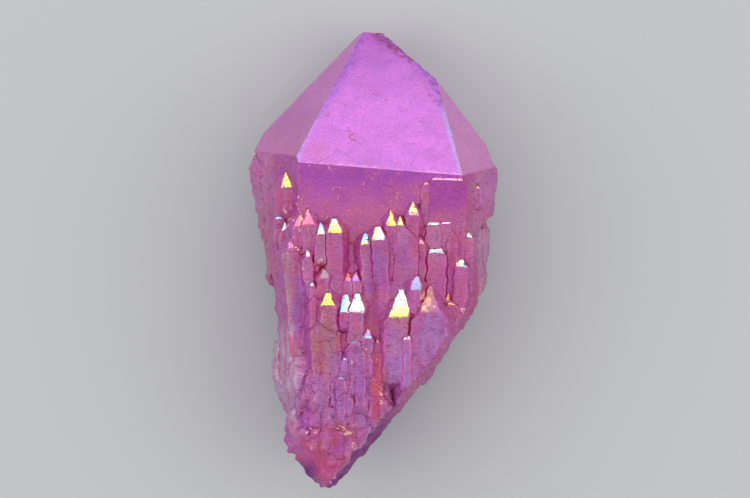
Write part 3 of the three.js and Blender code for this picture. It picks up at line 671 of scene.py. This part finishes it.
def coatedQuartz():
    # Quartz with metal vapour baked on to it, in a film thin enough to show interference colours.
    # It looks part metal, satin on the etched faces and mirror-bright on the small clean ones.
    material, tree = newMaterial("vapour coated quartz")
    rangeEnds = ("From Min", "From Max", "To Min", "To Max")
    place = addNode(tree, "TexCoord").outputs["Object"]
    coat = addNode(tree, "Attribute", {"attribute_name": "coat"}).outputs["Color"]
    tipGloss, frost, rim, etched, flecks, glints, seam, inside = (
        addNode(tree, "Attribute", {"attribute_name": name}).outputs["Fac"]
        for name in ("gloss", "frost", "rim", "etched", "flecks", "glints", "seam", "inside")
    )

    # One noise pulls the place aside, so that cracks, hairlines, flecks and glints wander
    bent = addNode(tree, "TexNoise", {"Scale": scaleFor(coating["bendSize"]), "Detail": 3.0}, {
        "Vector": place,
    }).outputs["Color"]
    bentPlace = addNode(tree, "VectorMath", {"operation": "MULTIPLY_ADD", 1: (coating["bend"] * mm,) * 3}, {
        0: bent, 2: place,
    }).outputs[0]
    ragNoise, drift, cloud, seamNoise, speckNoise, pits, fleckNoise = (
        addNode(tree, "TexNoise", {
            "Scale": scaleFor(coating[name]), "Detail": detail, "Roughness": roughness,
        }, {"Vector": source}).outputs["Fac"]
        for name, detail, roughness, source in (
            ("ragSize", 3.0, 0.5, place), ("driftSize", 4.0, 0.5, place), ("cloudSize", 5.0, 0.6, place),
            ("seamNoiseSize", 3.0, 0.5, place), ("speckSize", 3.0, 0.5, place),
            ("pitSize", 3.0, 0.5, place), ("fleckSize", 3.0, 0.5, bentPlace),
        )
    )

    # Grain, finer on the frosted face
    grainScale = addNode(tree, "MapRange", {
        "To Min": scaleFor(coating["grainSize"]), "To Max": scaleFor(coating["frostGrainSize"]),
    }, {"Value": frost}).outputs[0]
    grain = addNode(tree, "TexNoise", {"Detail": 3.0}, {"Vector": place, "Scale": grainScale}).outputs["Fac"]

    # Cracks lie round blocks that stand along the growth, etch lines across it, and hairlines round cells
    blocks, etchPlace = (
        addNode(tree, "Mapping", {"Scale": [scaleFor(size) for size in coating[name]]}, {
            "Vector": source,
        }).outputs[0]
        for name, source in (("blockSize", bentPlace), ("etchSize", place))
    )
    etchNoise = addNode(tree, "TexNoise", {"Scale": 1.0, "Detail": 2.0}, {"Vector": etchPlace}).outputs["Fac"]
    blockGap, hairGap = (
        addNode(tree, "TexVoronoi", {"feature": "DISTANCE_TO_EDGE", "Scale": scale}, {
            "Vector": source,
        }).outputs["Distance"]
        for scale, source in ((1.0, blocks), (scaleFor(coating["hairSize"]), bentPlace))
    )

    part = {
        name: addNode(tree, "MapRange", dict(zip(rangeEnds, coating["ranges"][name])), {
            "Value": source,
        }).outputs[0]
        for name, source in (
            ("rag", ragNoise), ("hueLow", frost), ("hueHigh", frost), ("fineLow", frost),
            ("fineHigh", frost), ("slowValue", cloud), ("grainRough", grain), ("seamStart", seamNoise),
            ("crack", blockGap), ("crackPart", seamNoise), ("etchLine", etchNoise), ("hair", hairGap),
            ("hairPart", seamNoise), ("clusters", drift), ("fleck", fleckNoise), ("rimPart", grain),
            ("speck", speckNoise), ("glintPart", ragNoise), ("pitDeep", frost),
        )
    }

    # The clean faces end ragged, up to about 0.2 mm inside their borders
    past = addNode(tree, "Math", {"operation": "SUBTRACT"}, {0: inside, 1: part["rag"]}).outputs[0]
    clean = addNode(tree, "MapRange", {"From Max": coating["cleanEdge"]}, {"Value": past}).outputs[0]
    gloss = addNode(tree, "Math", {"operation": "MULTIPLY"}, {0: tipGloss, 1: clean}).outputs[0]
    ragged = addNode(tree, "Mix", {"data_type": "RGBA", 6: linear(coating["ragged"])}, {
        0: clean, 7: coat,
    }).outputs[2]

    # The film's thickness drifts, which turns the hue, and grain and clouds mottle it
    spanStart, spanEnd = coating["noiseSpan"]
    hue, fineValue = (
        addNode(tree, "MapRange", {"From Min": spanStart, "From Max": spanEnd}, {
            "Value": source, "To Min": part[low], "To Max": part[high],
        }).outputs[0]
        for source, low, high in ((drift, "hueLow", "hueHigh"), (grain, "fineLow", "fineHigh"))
    )
    value = addNode(tree, "Math", {"operation": "MULTIPLY"}, {0: fineValue, 1: part["slowValue"]}).outputs[0]
    mottled = addNode(tree, "HueSaturation", None, {
        "Hue": hue, "Value": value, "Color": ragged,
    }).outputs["Color"]

    # Seams between crystals: thin crimson lines that come and go
    wander = coating["seamWander"]
    seamWander = addNode(tree, "Math", {"operation": "MULTIPLY_ADD", 1: wander, 2: -wander / 2}, {
        0: grain,
    }).outputs[0]
    seamPlace = addNode(tree, "Math", {"operation": "ADD"}, {0: seam, 1: seamWander}).outputs[0]
    seamLine = addNode(tree, "MapRange", {"From Max": 1.0, "To Max": coating["seamMost"]}, {
        "Value": seamPlace, "From Min": part["seamStart"],
    }).outputs[0]

    # A round mark on the frosted face, open to the right
    markAway = addNode(tree, "VectorMath", {
        "operation": "DISTANCE", 1: [c * mm for c in coating["markPlace"]],
    }, {0: place}).outputs["Value"]
    markRing = addNode(tree, "Math", {
        "operation": "COMPARE", 1: coating["markRadius"] * mm, 2: coating["markLine"] * mm,
    }, {0: markAway}).outputs[0]
    across = addNode(tree, "SeparateXYZ", None, {0: place}).outputs[0]
    start, full = coating["markSide"]
    markSide = addNode(tree, "MapRange", {
        "From Min": start * mm, "From Max": full * mm, "To Max": coating["markStrength"],
    }, {"Value": across}).outputs[0]

    # Each overlay goes on where all of its shares meet. The flecks are painted sparkle: pinkish and in
    # clusters, most of them on the front prism face and the lower left of the frosted one. The rim is pale
    # blue, along the lower side borders of the frosted face. The specks are dark, on the bright faces.
    colour = mottled
    for name, share, *others in (
        ("seam", seamLine),
        ("crack", part["crack"], part["crackPart"], etched),
        ("etchLine", part["etchLine"], etched),
        ("hairline", part["hair"], part["hairPart"], frost),
        ("mark", markRing, markSide, frost),
        ("fleck", part["clusters"], flecks, part["fleck"]),
        ("rim", rim, part["rimPart"]),
        ("speck", part["speck"], gloss),
    ):
        for other in others:
            share = addNode(tree, "Math", {"operation": "MULTIPLY"}, {0: share, 1: other}).outputs[0]
        colour = addNode(tree, "Mix", {"data_type": "RGBA", 7: linear(coating[name])}, {
            0: share, 6: colour,
        }).outputs[2]

    # Glints: whole small cells, from salmon to pale peach
    glintCells = addNode(tree, "TexVoronoi", {"Scale": scaleFor(coating["glintSize"])}, {
        "Vector": bentPlace,
    }).outputs["Color"]
    chance = addNode(tree, "SeparateColor", None, {"Color": glintCells})
    glintAmount = addNode(tree, "Math", {"operation": "MULTIPLY"}, {
        0: glints, 1: part["glintPart"],
    }).outputs[0]
    chosen = addNode(tree, "Math", {"operation": "LESS_THAN"}, {
        0: chance.outputs[0], 1: glintAmount,
    }).outputs[0]
    glintOn = addNode(tree, "Math", {"operation": "MULTIPLY", 1: coating["glintStrength"]}, {
        0: chosen,
    }).outputs[0]
    glintColour = addNode(tree, "Mix", {
        "data_type": "RGBA", 6: linear(coating["glint"]), 7: linear(coating["paleGlint"]),
    }, {0: chance.outputs[1]}).outputs[2]
    glinting = addNode(tree, "Mix", {"data_type": "RGBA"}, {0: glintOn, 6: colour, 7: glintColour}).outputs[2]

    # Pits, deepest on the frosted face and nearly gone on the brightest ones, which are also the smoothest
    pitShare, evenRough, metal = (
        addNode(tree, "MapRange", dict(zip(rangeEnds, coating["ranges"][name])), {"Value": gloss}).outputs[0]
        for name in ("pitShare", "evenRough", "metal")
    )
    pitStrength = addNode(tree, "Math", {"operation": "MULTIPLY"}, {
        0: part["pitDeep"], 1: pitShare,
    }).outputs[0]
    bump = addNode(tree, "Bump", {"Distance": coating["pitDepth"] * mm}, {
        "Height": pits, "Strength": pitStrength,
    }).outputs[0]
    rough = addNode(tree, "Math", {"operation": "ADD"}, {0: evenRough, 1: part["grainRough"]}).outputs[0]
    shader = addNode(tree, "BsdfPrincipled", {"IOR": coating["ior"]}, {
        "Base Color": glinting, "Roughness": rough, "Metallic": metal, "Normal": bump,
    })
    addNode(tree, "OutputMaterial", None, {"Surface": shader.outputs[0]})
    return material


stage = {
    "floor": "#C1C2C4",
    "floorRoughness": 0.9,
    "floorSize": 3.0,           # m
    "world": "#C8C9CB",
    "worldStrength": 1.2,
    "cameraLens": 100,          # mm
    "cameraSensor": 36,         # mm
    "cameraClip": 0.01,         # m
    "cameraFocus": 13.5,        # mm above the floor, the level that the scale is set for
    "cameraDistance": 343.2,    # mm from that level
    "cameraAside": (0.45, 1.61),   # mm, in x and y
    # place and aim, width and height in m, power in W
    "softboxes": {
        "far softbox": ((0, 0.62, 0.26), (0, 0, 0.02), 0.9, 0.45, 1.3),
        "left softbox": ((-0.5, -0.1, 0.45), (0, 0, 0.01), 0.5, 0.5, 1.05),
        "right softbox": ((0.5, -0.1, 0.45), (0, 0, 0.01), 0.5, 0.5, 0.95),
    },
}


def buildStage():
    bm = bmesh.new()
    bmesh.ops.create_grid(bm, x_segments=1, y_segments=1, size=stage["floorSize"] / 2)
    mesh = bpy.data.meshes.new("floor")
    bm.to_mesh(mesh)
    bm.free()
    floor = bpy.data.objects.new("floor", mesh)
    bpy.context.scene.collection.objects.link(floor)
    material, tree = newMaterial("matt paper")   # an even pale ground with no shine
    shader = addNode(tree, "BsdfPrincipled", {
        "Base Color": linear(stage["floor"]), "Roughness": stage["floorRoughness"],
    })
    addNode(tree, "OutputMaterial", None, {"Surface": shader.outputs[0]})
    mesh.materials.append(material)
    print("stage: floor laid")


def hangSoftboxes():
    world = bpy.data.worlds.new("studio")
    bpy.context.scene.world = world
    world.use_nodes = True
    world.node_tree.nodes["Background"].inputs[0].default_value = linear(stage["world"])
    world.node_tree.nodes["Background"].inputs[1].default_value = stage["worldStrength"]
    for name, (place, aim, width, height, power) in stage["softboxes"].items():
        light = bpy.data.lights.new(name, "AREA")
        light.shape = "RECTANGLE"
        light.size, light.size_y = width, height
        light.energy = power
        lamp = bpy.data.objects.new(name, light)
        bpy.context.scene.collection.objects.link(lamp)
        lamp.location = place
        lamp.rotation_euler = (Vector(aim) - Vector(place)).to_track_quat("-Z", "Y").to_euler()
        lamp.visible_camera = False
    print("stage: lights hung")


def placeCamera():
    camera = bpy.data.cameras.new("camera")
    camera.lens = stage["cameraLens"]
    camera.sensor_width = stage["cameraSensor"]
    camera.clip_start = stage["cameraClip"]
    holder = bpy.data.objects.new("camera", camera)
    bpy.context.scene.collection.objects.link(holder)
    x, y = stage["cameraAside"]
    holder.location = (x * mm, y * mm, (stage["cameraFocus"] + stage["cameraDistance"]) * mm)
    bpy.context.scene.camera = holder
    print("stage: camera placed")


placeCamera()
buildStage()
hangSoftboxes()
bpy.context.scene.view_settings.view_transform = "Standard"

auraQuartz = buildCrystal()
auraQuartz.data.materials.append(coatedQuartz())
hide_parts("quartz_crystal")
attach(auraQuartz, "root")

print("done:", len(auraQuartz.data.polygons), "triangles")
